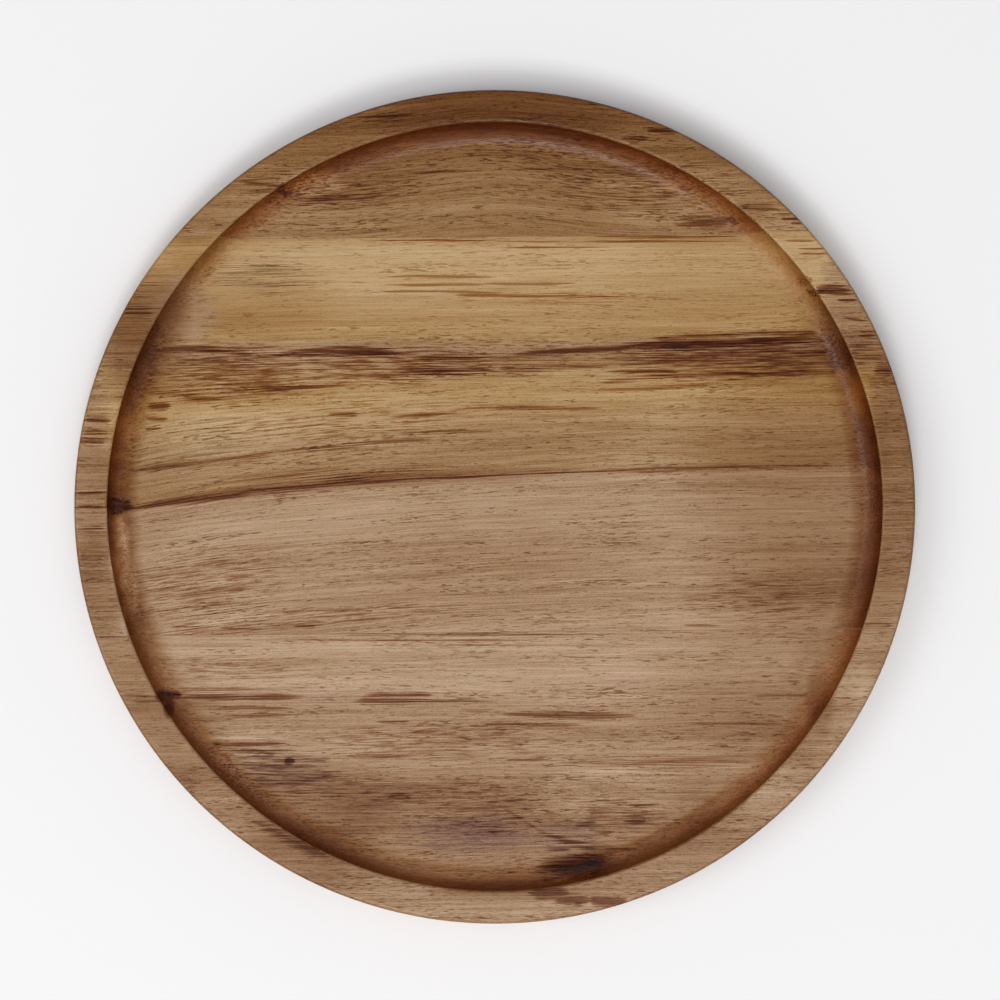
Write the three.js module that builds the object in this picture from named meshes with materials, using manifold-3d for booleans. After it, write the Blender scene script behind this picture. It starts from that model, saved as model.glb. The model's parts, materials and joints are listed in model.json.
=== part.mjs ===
// A round serving tray of acacia wood, in millimetres with +Z up.
// Three boards are glued edge to edge, and the panel is turned to a disc with a rim round a shallow recess.
// Wood shrinks across the grain as it dries, so the disc is a little narrower that way.
// The origin is the middle of the underside. X runs along the grain, and Y across it from front to rear.

import * as THREE from 'three';
import { mergeVertices } from 'three/addons/utils/BufferGeometryUtils.js';
import Module from 'manifold-3d';

// Driving dimensions of the turned disc. The diameter is along the grain, and the width across it.
const TRAY_DIAMETER = 305;
const TRAY_WIDTH = 302.5;
const TRAY_HEIGHT = 19;
const RIM_WIDTH = 12;
const RECESS_DEPTH = 9.5;
const COVE_RADIUS = 8.4;
const RIM_OUTER_ROUND = 1.5;
const RIM_INNER_ROUND = 1;
const FOOT_ROUND = 2.5;

// Driving dimensions of the glued panel: each outer board is measured from the tray's edge to its joint
const REAR_BOARD_WIDTH = 52.6;
const FRONT_BOARD_WIDTH = 105;
const GLUE_THICKNESS = 0.15;

// Fineness of the faceted solids
const TURNING_STEPS = 120;
const ROUND_STEPS = 4;
const COVE_STEPS = 8;
const MERGE_TOLERANCE = 1e-4;

const WOOD = { roughness: 0.55, metalness: 0 };
const REAR_BOARD_COLOUR = 0x7b5330;
const MIDDLE_BOARD_COLOUR = 0xa68255;
const FRONT_BOARD_COLOUR = 0x99744f;
const GLUE_COLOUR = 0x6b4a2a;

const wasm = await Module();
wasm.setup();

// Points of a round stretch of the turned profile, in (radius, height).
function roundStretch(radius, height, size, fromAngle, toAngle, steps) {
  const clockwise = toAngle < fromAngle;
  const curve = new THREE.EllipseCurve(radius, height, size, size, fromAngle, toAngle, clockwise);
  return curve.getPoints(steps);
}

// The half section that is turned about the tray's axis, from mid underside to mid floor.
function turnedProfile() {
  const quarter = Math.PI / 2;
  const outer = TRAY_DIAMETER / 2;
  const inner = outer - RIM_WIDTH;
  const floor = TRAY_HEIGHT - RECESS_DEPTH;
  const cove = Math.min(COVE_RADIUS, RECESS_DEPTH - RIM_INNER_ROUND);
  const rimRound = TRAY_HEIGHT - RIM_OUTER_ROUND;
  const lipRound = TRAY_HEIGHT - RIM_INNER_ROUND;
  return [
    new THREE.Vector2(0, 0),
    ...roundStretch(outer - FOOT_ROUND, FOOT_ROUND, FOOT_ROUND, -quarter, 0, ROUND_STEPS),
    ...roundStretch(outer - RIM_OUTER_ROUND, rimRound, RIM_OUTER_ROUND, 0, quarter, ROUND_STEPS),
    ...roundStretch(inner + RIM_INNER_ROUND, lipRound, RIM_INNER_ROUND, quarter, 2 * quarter, ROUND_STEPS),
    ...roundStretch(inner - cove, floor + cove, cove, 0, -quarter, COVE_STEPS),
    new THREE.Vector2(0, floor),
  ];
}

// A closed geometry as a solid that can be cut.
function solidFrom(geometry) {
  const bare = geometry.clone();
  bare.deleteAttribute('normal');
  bare.deleteAttribute('uv');
  const merged = mergeVertices(bare, MERGE_TOLERANCE);
  return new wasm.Manifold(new wasm.Mesh({
    numProp: 3,
    vertProperties: merged.attributes.position.array,
    triVerts: new Uint32Array(merged.index.array),
  }));
}

// A cut solid as a named mesh with its own material.
function meshFrom(solid, name, colour) {
  const cut = solid.getMesh();
  const geometry = new THREE.BufferGeometry();
  geometry.setAttribute('position', new THREE.BufferAttribute(cut.vertProperties, cut.numProp));
  geometry.setIndex(new THREE.BufferAttribute(cut.triVerts, 1));
  geometry.computeVertexNormals();
  const mesh = new THREE.Mesh(geometry, new THREE.MeshStandardMaterial({ color: colour, ...WOOD }));
  mesh.name = name;
  return mesh;
}

// The whole disc, turned about Z and then shrunk across the grain.
function turnedDisc() {
  const turned = new THREE.LatheGeometry(turnedProfile(), TURNING_STEPS);
  turned.rotateX(Math.PI / 2);
  turned.scale(1, TRAY_WIDTH / TRAY_DIAMETER, 1);
  return solidFrom(turned);
}

// The slice of the disc between two planes across the boards. Slices that share a plane touch face to face.
function sliceBetween(disc, frontY, rearY) {
  const strip = new THREE.Shape([
    new THREE.Vector2(-TRAY_DIAMETER, frontY),
    new THREE.Vector2(TRAY_DIAMETER, frontY),
    new THREE.Vector2(TRAY_DIAMETER, rearY),
    new THREE.Vector2(-TRAY_DIAMETER, rearY),
  ]);
  const slab = new THREE.ExtrudeGeometry(strip, { depth: 3 * TRAY_HEIGHT, bevelEnabled: false });
  slab.translate(0, 0, -TRAY_HEIGHT);
  return disc.intersect(solidFrom(slab));
}

// The planes across the tray, from rear to front. The first and last lie clear of the disc.
const pastRear = TRAY_WIDTH;
const rearJoint = TRAY_WIDTH / 2 - REAR_BOARD_WIDTH;
const middleRear = rearJoint - GLUE_THICKNESS;
const frontJoint = FRONT_BOARD_WIDTH - TRAY_WIDTH / 2;
const middleFront = frontJoint + GLUE_THICKNESS;
const pastFront = -TRAY_WIDTH;

const disc = turnedDisc();
const tray = new THREE.Group();
tray.add(
  meshFrom(sliceBetween(disc, rearJoint, pastRear), 'rear_board', REAR_BOARD_COLOUR),
  meshFrom(sliceBetween(disc, middleRear, rearJoint), 'rear_glue_line', GLUE_COLOUR),
  meshFrom(sliceBetween(disc, middleFront, middleRear), 'middle_board', MIDDLE_BOARD_COLOUR),
  meshFrom(sliceBetween(disc, frontJoint, middleFront), 'front_glue_line', GLUE_COLOUR),
  meshFrom(sliceBetween(disc, pastFront, frontJoint), 'front_board', FRONT_BOARD_COLOUR),
);

export default tray;
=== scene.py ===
# %% [markdown]
# # A round acacia tray
# The real tray is three acacia boards glued edge to edge and turned to a disc, with a rim round a shallow
# recess. The packed model is loaded first and stays fixed. Everything below dresses it: finer boards, their
# wood, a floor, lights and a camera at the photograph's viewing angle.

import json
import math
from collections import namedtuple

import bmesh
import bpy
from mathutils import Matrix, Vector


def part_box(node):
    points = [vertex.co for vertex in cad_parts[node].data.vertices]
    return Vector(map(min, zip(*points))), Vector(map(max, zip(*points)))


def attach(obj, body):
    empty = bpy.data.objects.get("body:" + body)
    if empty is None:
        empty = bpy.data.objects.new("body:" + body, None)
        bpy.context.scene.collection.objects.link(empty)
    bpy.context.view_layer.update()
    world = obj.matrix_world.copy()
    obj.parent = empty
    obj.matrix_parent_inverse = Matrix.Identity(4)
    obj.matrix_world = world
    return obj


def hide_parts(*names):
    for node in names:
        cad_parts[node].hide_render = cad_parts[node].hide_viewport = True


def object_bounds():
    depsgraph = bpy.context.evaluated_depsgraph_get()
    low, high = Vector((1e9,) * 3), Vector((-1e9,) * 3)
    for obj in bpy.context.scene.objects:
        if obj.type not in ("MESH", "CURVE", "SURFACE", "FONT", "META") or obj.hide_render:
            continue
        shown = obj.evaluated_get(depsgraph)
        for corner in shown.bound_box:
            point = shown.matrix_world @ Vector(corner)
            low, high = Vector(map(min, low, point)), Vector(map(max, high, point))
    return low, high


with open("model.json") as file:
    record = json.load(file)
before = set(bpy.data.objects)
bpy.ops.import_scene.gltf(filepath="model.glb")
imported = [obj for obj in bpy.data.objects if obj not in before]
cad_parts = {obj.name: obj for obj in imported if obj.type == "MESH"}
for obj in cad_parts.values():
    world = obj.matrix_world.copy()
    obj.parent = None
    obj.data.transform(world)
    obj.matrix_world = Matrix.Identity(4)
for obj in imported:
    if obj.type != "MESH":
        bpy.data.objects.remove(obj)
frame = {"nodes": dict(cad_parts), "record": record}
cad_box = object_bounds()
scene = bpy.context.scene
scene.view_settings.view_transform = "Standard"
print("pieces in the frame:", sorted(frame["nodes"]))

# %% [markdown]
# ## Sizes
# The disc's radius and height come from the frame's box, the recess floor from its mount and the joints
# from the boards' own boxes. Only the small turned details are written here, as on the solid model. All are
# in metres. Wood shrinks across the grain as it dries, so the disc is a little narrower that way than along
# the grain.

# %% Read the sizes
TRAY_RADIUS = cad_box[1].x
ACROSS_GRAIN = cad_box[1].y / cad_box[1].x
TRAY_HEIGHT = cad_box[1].z
MOUNTS = {mount["name"]: mount for mount in frame["record"]["mounts"]}
FLOOR_HEIGHT = MOUNTS["recess_floor"]["pos_m"][2]
RIM_WIDTH = 0.012
COVE_RADIUS = 0.0084
RIM_OUTER_ROUND = 0.0015
RIM_INNER_ROUND = 0.001
FOOT_ROUND = 0.0025
RECESS_RADIUS = TRAY_RADIUS - RIM_WIDTH
MM = 1000.0
print(f"radius {TRAY_RADIUS * MM:.1f} mm, height {TRAY_HEIGHT * MM:.1f} mm")
print(f"recess floor at {FLOOR_HEIGHT * MM:.1f} mm")
print(f"across the grain the disc has {ACROSS_GRAIN:.4f} of its length along it")

# %% [markdown]
# ## Camera
# The photograph looks almost straight down: the joints between the boards shift by only a few pixels from
# the floor up to the rim, so the camera leans about 2 degrees from the vertical, at a little over a metre.
# The boards lie turned a little in the frame, and a small roll of the camera gives that.

# %% Make the camera
IMAGE_SIDE = 1000
IMAGE_MIDDLE = (IMAGE_SIDE / 2, IMAGE_SIDE / 2)
SENSOR_WIDTH = 36.0
CAMERA_DISTANCE = 1.1
CAMERA_LEAN = math.radians(2.005)
CAMERA_SIDE = math.radians(-13.52)
CAMERA_ROLL = math.radians(-0.585)
CAMERA_LENS = 109.34
CAMERA_AIM = Vector((0.00175, 0.00171, TRAY_HEIGHT))

toward_camera = Vector(
    (
        math.sin(CAMERA_LEAN) * math.sin(CAMERA_SIDE),
        -math.sin(CAMERA_LEAN) * math.cos(CAMERA_SIDE),
        math.cos(CAMERA_LEAN),
    )
)
level_up = (Vector((0, 1, 0)) - toward_camera * toward_camera.y).normalized()
level_right = level_up.cross(toward_camera)
camera_right = level_right * math.cos(CAMERA_ROLL) + level_up * math.sin(CAMERA_ROLL)
camera_up = toward_camera.cross(camera_right)
camera_place = CAMERA_AIM + toward_camera * CAMERA_DISTANCE

lens = bpy.data.cameras.new("camera")
lens.sensor_width = SENSOR_WIDTH
lens.lens = CAMERA_LENS
camera = bpy.data.objects.new("camera", lens)
scene.collection.objects.link(camera)
turned = Matrix((camera_right, camera_up, toward_camera)).transposed()
camera.matrix_world = Matrix.Translation(camera_place) @ turned.to_4x4()
scene.camera = camera
print("camera at", [round(value, 3) for value in camera_place])

# %% [markdown]
# Marks in the wood are placed where the photograph shows them. A pixel is a ray from the camera, and the
# mark lies where that ray meets the recess floor or the top of the rim.

# %% Find the point of the tray that a pixel shows
def seen_at(pixel, height):
    """The point of the tray, in millimetres along and across the grain, that a pixel shows on a level."""
    spread = SENSOR_WIDTH / CAMERA_LENS / IMAGE_SIDE
    right = (pixel[0] - IMAGE_MIDDLE[0]) * spread
    up = (IMAGE_MIDDLE[1] - pixel[1]) * spread
    ray = camera_right * right + camera_up * up - toward_camera
    met = camera_place + ray * ((height - camera_place.z) / ray.z)
    return Vector((met.x * MM, met.y * MM))


print("the picture's middle shows", seen_at(IMAGE_MIDDLE, FLOOR_HEIGHT), "mm on the floor")

# %% [markdown]
# ## Boards
# The panel was turned on a lathe after gluing, so all three boards share one turned profile. The profile is
# drawn once, with true arcs for the cove and the rounded edges, spun into a disc, and sliced at the glue
# joints. A narrow ring beside each arc keeps the flat faces flat under smooth shading.

# %% Draw the turned profile
TURNING_STEPS = 360
ROUND_STEPS = 8
COVE_STEPS = 20
RING_SPACING = 0.010
EDGE_RING = 0.0004


def round_stretch(radius, height, size, start, end, steps):
    """Points of an arc of the profile, as (radius, height), between two angles in degrees."""
    angles = [math.radians(start + (end - start) * step / steps) for step in range(steps + 1)]
    return [(radius + size * math.cos(angle), height + size * math.sin(angle)) for angle in angles]


def flat_stretch(start, end, height):
    """Points of a level stretch of the profile, evenly spaced, with the two ends left out."""
    count = max(1, round(abs(end - start) / RING_SPACING))
    return [(start + (end - start) * step / count, height) for step in range(1, count)]


def turned_profile():
    """Half of the tray's section, from the middle of the underside to the middle of the recess floor."""
    foot = TRAY_RADIUS - FOOT_ROUND
    rim_outer = TRAY_RADIUS - RIM_OUTER_ROUND
    rim_inner = RECESS_RADIUS + RIM_INNER_ROUND
    cove_foot = RECESS_RADIUS - COVE_RADIUS
    cove_top = FLOOR_HEIGHT + COVE_RADIUS
    points = [(0.0, 0.0)]
    points += flat_stretch(0.0, foot - EDGE_RING, 0.0)
    points += [(foot - EDGE_RING, 0.0)]
    points += round_stretch(foot, FOOT_ROUND, FOOT_ROUND, -90, 0, ROUND_STEPS)
    points += [(TRAY_RADIUS, FOOT_ROUND + EDGE_RING)]
    points += [(TRAY_RADIUS, TRAY_HEIGHT / 2)]
    points += [(TRAY_RADIUS, TRAY_HEIGHT - RIM_OUTER_ROUND - EDGE_RING)]
    points += round_stretch(rim_outer, TRAY_HEIGHT - RIM_OUTER_ROUND, RIM_OUTER_ROUND, 0, 90, ROUND_STEPS)
    points += [(rim_outer - EDGE_RING, TRAY_HEIGHT)]
    points += [(rim_inner + EDGE_RING, TRAY_HEIGHT)]
    points += round_stretch(rim_inner, TRAY_HEIGHT - RIM_INNER_ROUND, RIM_INNER_ROUND, 90, 180, ROUND_STEPS)
    points += round_stretch(cove_foot, cove_top, COVE_RADIUS, 0, -90, COVE_STEPS)
    points += [(cove_foot - EDGE_RING, FLOOR_HEIGHT)]
    points += flat_stretch(cove_foot - EDGE_RING, 0.0, FLOOR_HEIGHT)
    points += [(0.0, FLOOR_HEIGHT)]
    return points


PROFILE = turned_profile()
print("the turned profile has", len(PROFILE), "points")

# %% Spin the disc and slice it
CUT_TOLERANCE = 1e-7
SHARP_ANGLE = math.radians(40)


def turned_disc():
    """The whole disc as a closed mesh, spun from the profile and shrunk across the grain."""
    disc = bmesh.new()
    angles = [2 * math.pi * step / TURNING_STEPS for step in range(TURNING_STEPS)]
    ways = [Vector((math.cos(angle), ACROSS_GRAIN * math.sin(angle), 0)) for angle in angles]
    rings = []
    for radius, height in PROFILE:
        level = Vector((0, 0, height))
        if radius == 0:
            rings.append([disc.verts.new(level)] * TURNING_STEPS)
        else:
            rings.append([disc.verts.new(way * radius + level) for way in ways])
    for ring, following in zip(rings, rings[1:]):
        for step in range(TURNING_STEPS):
            after = (step + 1) % TURNING_STEPS
            corners = (ring[step], ring[after], following[after], following[step])
            disc.faces.new(dict.fromkeys(corners))
    return disc


def slice_between(disc, front, rear):
    """Cuts the disc to the stretch between two planes across the grain, and closes the cuts."""
    for place, outward in ((front, -1), (rear, 1)):
        if abs(place) > cad_box[1].y - EDGE_RING:
            continue
        everything = disc.verts[:] + disc.edges[:] + disc.faces[:]
        cut = bmesh.ops.bisect_plane(
            disc,
            geom=everything,
            dist=CUT_TOLERANCE,
            plane_co=(0, place, 0),
            plane_no=(0, outward, 0),
            clear_outer=True,
        )
        open_edges = [part for part in cut["geom_cut"] if isinstance(part, bmesh.types.BMEdge)]
        closed = bmesh.ops.edgenet_fill(disc, edges=open_edges)
        bmesh.ops.triangulate(disc, faces=closed["faces"])
    bmesh.ops.recalc_face_normals(disc, faces=disc.faces[:])


def turned_piece(name, node):
    """A finely turned piece that stands for one CAD node, between the same two planes."""
    low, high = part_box(node)
    disc = turned_disc()
    slice_between(disc, low.y, high.y)
    mesh = bpy.data.meshes.new(name)
    disc.to_mesh(mesh)
    disc.free()
    mesh.shade_smooth()
    mesh.set_sharp_from_angle(angle=SHARP_ANGLE)
    piece = bpy.data.objects.new(name, mesh)
    scene.collection.objects.link(piece)
    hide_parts(node)
    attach(piece, "root")
    print(f"{name}: {len(mesh.polygons)} faces, {low.y * MM:.2f} to {high.y * MM:.2f} mm across")
    return piece


rear_board = turned_piece("rear_board_turned", "rear_board")
middle_board = turned_piece("middle_board_turned", "middle_board")
front_board = turned_piece("front_board_turned", "front_board")
rear_glue = turned_piece("rear_glue_line_turned", "rear_glue_line")
front_glue = turned_piece("front_glue_line_turned", "front_glue_line")

# %% [markdown]
# Two small knots come to the surface in the left cove. Their short hard grain broke out a little under the
# cutter, so the cove dips there. The mesh is made finer round each knot before it is pressed in.

# %% Press the knots into the cove
COVE_LEVEL = FLOOR_HEIGHT + COVE_RADIUS / 3
LEFT_KNOT = (120, 506)
LOWER_KNOT = (168, 699)
KNOT_DEPTH = 0.0006
KNOT_REACH = 0.0034
KNOT_FADE = 2
KNOT_CUTS = 3


def press_knot(piece, pixel):
    """Presses a shallow dip into the cove of a piece, round the point that a pixel shows."""
    seen = seen_at(pixel, COVE_LEVEL) / MM
    middle = Vector((seen.x, seen.y, COVE_LEVEL))
    edge_of_dip = KNOT_FADE * KNOT_REACH
    dipped = bmesh.new()
    dipped.from_mesh(piece.data)
    beside = [edge for edge in dipped.edges if (edge.verts[0].co - middle).length < edge_of_dip]
    bmesh.ops.subdivide_edges(dipped, edges=beside, cuts=KNOT_CUTS, use_grid_fill=True)
    dipped.normal_update()
    moved = 0
    for vertex in dipped.verts:
        away = (vertex.co - middle).length / KNOT_REACH
        if away < KNOT_FADE:
            vertex.co -= vertex.normal * KNOT_DEPTH * math.exp(-(away**2))
            moved += 1
    dipped.to_mesh(piece.data)
    dipped.free()
    piece.data.set_sharp_from_angle(angle=SHARP_ANGLE)
    print(f"knot in {piece.name}: {moved} points pressed in")


press_knot(middle_board, LEFT_KNOT)
press_knot(front_board, LOWER_KNOT)

# %% [markdown]
# ## Writing node trees
# The wood is a solid texture made of shader nodes. A small helper writes one node per line and returns its
# output, so that a tree reads like a sum. Values that are the same all over go straight into a socket, and
# the rest are links.

# %% A short way to write nodes
NOISE_MIDDLE = 0.5
MIX_FACTOR, MIX_UNDER, MIX_OVER, MIX_RESULT = 0, 6, 7, 2


class NodeSheet:
    """Adds nodes to one tree. Each call returns the new node's output, to feed into the next call."""

    def __init__(self, tree):
        self.tree = tree

    def feed(self, socket, value):
        if isinstance(value, bpy.types.NodeSocket):
            self.tree.links.new(value, socket)
        else:
            socket.default_value = value

    def node(self, kind, feeds=None, **settings):
        made = self.tree.nodes.new(kind)
        for name, value in settings.items():
            setattr(made, name, value)
        for socket, value in (feeds or {}).items():
            self.feed(made.inputs[socket], value)
        return made

    def math(self, operation, *values, clamp=False):
        feeds = dict(enumerate(values))
        return self.node("ShaderNodeMath", feeds, operation=operation, use_clamp=clamp).outputs[0]

    def chain(self, operation, values):
        """One operation over several values in turn."""
        so_far = values[0]
        for value in values[1:]:
            so_far = self.math(operation, so_far, value)
        return so_far

    def centred(self, noise):
        """Noise or lines, moved so that they swing about zero."""
        return self.math("SUBTRACT", noise, NOISE_MIDDLE)

    def each(self, operation, *values):
        feeds = dict(enumerate(values))
        return self.node("ShaderNodeVectorMath", feeds, operation=operation).outputs[0]

    def ramp(self, value, start, end, low=0.0, high=1.0, smooth=True):
        feeds = {"Value": value, "From Min": start, "From Max": end, "To Min": low, "To Max": high}
        kind = "SMOOTHSTEP" if smooth else "LINEAR"
        return self.node("ShaderNodeMapRange", feeds, interpolation_type=kind).outputs["Result"]

    def fade(self, value, level, offsets):
        """A ramp from 0 to 1 between two offsets from a level."""
        return self.ramp(value, level + offsets[0], level + offsets[1])

    def noise(self, vector, detail, roughness=0.5):
        feeds = {"Vector": vector, "Scale": 1.0, "Detail": detail, "Roughness": roughness}
        return self.node("ShaderNodeTexNoise", feeds).outputs["Fac"]

    def spread_noise(self, vector, lengths, detail):
        """Noise with a length of its own along, across and through the board, in millimetres."""
        scaled = self.each("MULTIPLY", vector, tuple(1 / length for length in lengths))
        return self.noise(scaled, detail)

    def mix(self, factor, under, over, blend="MIX"):
        made = self.node("ShaderNodeMix", data_type="RGBA", blend_type=blend)
        for place, value in ((MIX_FACTOR, factor), (MIX_UNDER, under), (MIX_OVER, over)):
            self.feed(made.inputs[place], value)
        return made.outputs[MIX_RESULT]

    def parts(self, vector):
        return self.node("ShaderNodeSeparateXYZ", {0: vector}).outputs[:]

    def vector(self, x, y, z):
        return self.node("ShaderNodeCombineXYZ", {0: x, 1: y, 2: z}).outputs[0]

    def group(self, tree, label="", **feeds):
        made = self.node("ShaderNodeGroup", node_tree=tree, label=label)
        for name, value in feeds.items():
            self.feed(made.inputs[name.replace("_", " ")], value)
        return made.outputs


print("a node sheet can write:", ", ".join(name for name in vars(NodeSheet) if not name.startswith("_")))

# %% Start a group or a material, and write a colour
FLOAT, VECTOR, COLOUR = "NodeSocketFloat", "NodeSocketVector", "NodeSocketColor"


def new_group(name, inputs, outputs):
    """An empty node group with named sockets, and the sheet, inputs and output node to fill it with."""
    tree = bpy.data.node_groups.new(name, "ShaderNodeTree")
    for socket, kind in inputs.items():
        tree.interface.new_socket(socket, in_out="INPUT", socket_type=kind)
    for socket, kind in outputs.items():
        tree.interface.new_socket(socket, in_out="OUTPUT", socket_type=kind)
    entry = tree.nodes.new("NodeGroupInput")
    result = tree.nodes.new("NodeGroupOutput")
    return tree, NodeSheet(tree), entry.outputs, result.inputs


def new_material(name):
    """An empty material, its sheet, and the place on the tray in millimetres for its nodes to start from."""
    material = bpy.data.materials.new(name)
    material.use_nodes = True
    material.node_tree.nodes.clear()
    sheet = NodeSheet(material.node_tree)
    place = sheet.node("ShaderNodeTexCoord").outputs["Object"]
    position = sheet.node("ShaderNodeVectorMath", {0: place, "Scale": MM}, operation="SCALE").outputs[0]
    return material, sheet, position


def looks(red, green, blue):
    """A colour written as it looks on a screen, from 0 to 255, as the linear colour that shaders use."""
    linear = [
        value / 255 / 12.92 if value <= 10 else ((value / 255 + 0.055) / 1.055) ** 2.4
        for value in (red, green, blue)
    ]
    return (*linear, 1.0)


print("mid brown is", [round(value, 3) for value in looks(165, 133, 100)])

# %% [markdown]
# ## Grain
# Wood fibres run along the board but never quite straight. This group bends the across-the-grain coordinate
# by a slow wander and by a bend that each board brings, so that every later layer, such as pores and fine
# lines, follows the same fibres. The marks that are placed one by one follow the bend too, but hardly any
# of the wander.

# %% Group: grain flow
SEED_SHIFT = 61.7
SLOW_WANDER = (70, 22, 22)
QUICK_WANDER = (16, 4, 4)
QUICK_SHARE = 0.1
MARKS_SHARE = 0.3
grain_flow, sheet, entry, result = new_group(
    "grain flow",
    {"Position": VECTOR, "Bend": FLOAT, "Wander": FLOAT, "Seed": FLOAT},
    {"Grain": VECTOR, "Marks": VECTOR},
)
along, across, depth = sheet.parts(entry["Position"])
shift = sheet.math("MULTIPLY", entry["Seed"], SEED_SHIFT)
shifted_along = sheet.math("ADD", along, shift)
shifted = sheet.vector(shifted_along, across, sheet.math("ADD", depth, shift))
slow = sheet.centred(sheet.spread_noise(shifted, SLOW_WANDER, 1.0))
quick = sheet.centred(sheet.spread_noise(shifted, QUICK_WANDER, 2.0))
wander = sheet.math("MULTIPLY_ADD", quick, QUICK_SHARE, slow)
wander = sheet.math("MULTIPLY", wander, entry["Wander"])
straight = sheet.math("SUBTRACT", across, entry["Bend"])
flowing = sheet.math("ADD", straight, wander)
sheet.feed(result["Grain"], sheet.vector(shifted_along, flowing, depth))
wobble = sheet.math("MULTIPLY_ADD", wander, MARKS_SHARE, straight)
sheet.feed(result["Marks"], sheet.vector(along, wobble, depth))
print("grain flow:", len(grain_flow.nodes), "nodes")

# %% [markdown]
# Fine lines come from noise that is stretched along the fibres. The same group serves for broad soft bands
# and for hair lines, with its own length and width each time.

# %% Group: grain lines
LINE_ROUGHNESS = 0.6
LineSet = namedtuple("LineSet", "Length Width Detail Contrast")


def along_fibres(sheet, entry):
    """The grain's coordinates, counted in the length and the width that a group is given."""
    along, across, depth = sheet.parts(entry["Grain"])
    return sheet.vector(
        sheet.math("DIVIDE", along, entry["Length"]),
        sheet.math("DIVIDE", across, entry["Width"]),
        sheet.math("DIVIDE", depth, entry["Width"]),
    )


def lines_along(sheet, grain, line_set):
    """One set of lines along the fibres."""
    return sheet.group(grain_lines, Grain=grain, **line_set._asdict())["Lines"]


grain_lines, sheet, entry, result = new_group(
    "grain lines",
    {"Grain": VECTOR, "Length": FLOAT, "Width": FLOAT, "Detail": FLOAT, "Contrast": FLOAT},
    {"Lines": FLOAT},
)
lines = sheet.centred(sheet.noise(along_fibres(sheet, entry), entry["Detail"], LINE_ROUGHNESS))
lines = sheet.math("MULTIPLY_ADD", lines, entry["Contrast"], NOISE_MIDDLE, clamp=True)
sheet.feed(result["Lines"], lines)
print("grain lines:", len(grain_lines.nodes), "nodes")

# %% [markdown]
# Acacia is a wood with open pores: sap vessels that the saw cuts lengthwise, so that they show as short
# dark dashes on the face and as dots on the ends. The peaks of a noise that is stretched along the fibres
# give dashes of all lengths. A slower noise gathers them in swarms, as the growth rings do, and another
# makes some of them darker.

# %% Group: pores
SWARM_SIZE = (60, 7, 7)
PORE_PEAK = 0.74
PEAK_BY_AMOUNT = 0.12
PEAK_BY_SWARM = 0.35
PORE_EDGE = 0.07
FILLING_SIZE = (26, 1.7, 1.7)
FILLING_NOISE = (0.4, 0.68)
FILLING_DARKNESS = (0.35, 1.0)
pores, sheet, entry, result = new_group(
    "pores",
    {"Grain": VECTOR, "Length": FLOAT, "Width": FLOAT, "Amount": FLOAT},
    {"Mask": FLOAT},
)
swarm = sheet.centred(sheet.spread_noise(entry["Grain"], SWARM_SIZE, 2.0))
peak = sheet.math("SUBTRACT", PORE_PEAK, sheet.math("MULTIPLY", entry["Amount"], PEAK_BY_AMOUNT))
peak = sheet.math("SUBTRACT", peak, sheet.math("MULTIPLY", swarm, PEAK_BY_SWARM))
dash = sheet.noise(along_fibres(sheet, entry), 1.0)
dash = sheet.ramp(dash, sheet.math("SUBTRACT", peak, PORE_EDGE), peak)
filling = sheet.spread_noise(entry["Grain"], FILLING_SIZE, 1.0)
filling = sheet.ramp(filling, *FILLING_NOISE, *FILLING_DARKNESS)
sheet.feed(result["Mask"], sheet.math("MULTIPLY", dash, filling))
print("pores:", len(pores.nodes), "nodes")

# %% [markdown]
# The board's figure is what makes this tray this one: dark streaks where heartwood bands meet the surface.
# Each streak is a bowed stroke with soft tapering ends, placed where it lies on the real tray. A formula
# gives the stroke, so it stays sharp at any distance. There are many of them, so this group works out three
# at a time, one in each part of its vectors, and puts out the strongest.

# %% Group: three streaks
ZEROS, ONES = (0.0,) * 3, (1.0,) * 3
END_WIDTHS, WIDENING = (0.1,) * 3, (0.9,) * 3
STREAK_FORM = ["Middle Along", "Half Length", "Middle Across", "Half Rise", "Bow", "Half Width", "Strength"]
three_streaks, sheet, entry, result = new_group(
    "three streaks",
    dict.fromkeys(["Along", "Across", *STREAK_FORM], VECTOR),
    {"Mask": FLOAT},
)
run = sheet.each("SUBTRACT", entry["Along"], entry["Middle Along"])
run = sheet.each("DIVIDE", run, entry["Half Length"])
run_squared = sheet.each("MULTIPLY", run, run)
taper = sheet.each("SUBTRACT", ONES, sheet.each("MULTIPLY", run_squared, run_squared))
taper = sheet.each("MAXIMUM", taper, ZEROS)
line = sheet.each("MULTIPLY_ADD", run, entry["Half Rise"], entry["Middle Across"])
line = sheet.each("MULTIPLY_ADD", sheet.each("SUBTRACT", ONES, run_squared), entry["Bow"], line)
aside = sheet.each("ABSOLUTE", sheet.each("SUBTRACT", entry["Across"], line))
reach = sheet.each("MULTIPLY_ADD", taper, WIDENING, END_WIDTHS)
reach = sheet.each("MULTIPLY", entry["Half Width"], reach)
inside = sheet.each("SUBTRACT", ONES, sheet.each("DIVIDE", aside, reach))
inside = sheet.each("MAXIMUM", inside, ZEROS)
mask = sheet.each("MULTIPLY", inside, sheet.each("MULTIPLY", taper, entry["Strength"]))
sheet.feed(result["Mask"], sheet.chain("MAXIMUM", sheet.parts(mask)))
print("three streaks:", len(three_streaks.nodes), "nodes")

# %% [markdown]
# Broad changes of colour, such as a straw-coloured zone, are soft patches: ellipses that fade out to their
# edge.

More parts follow.
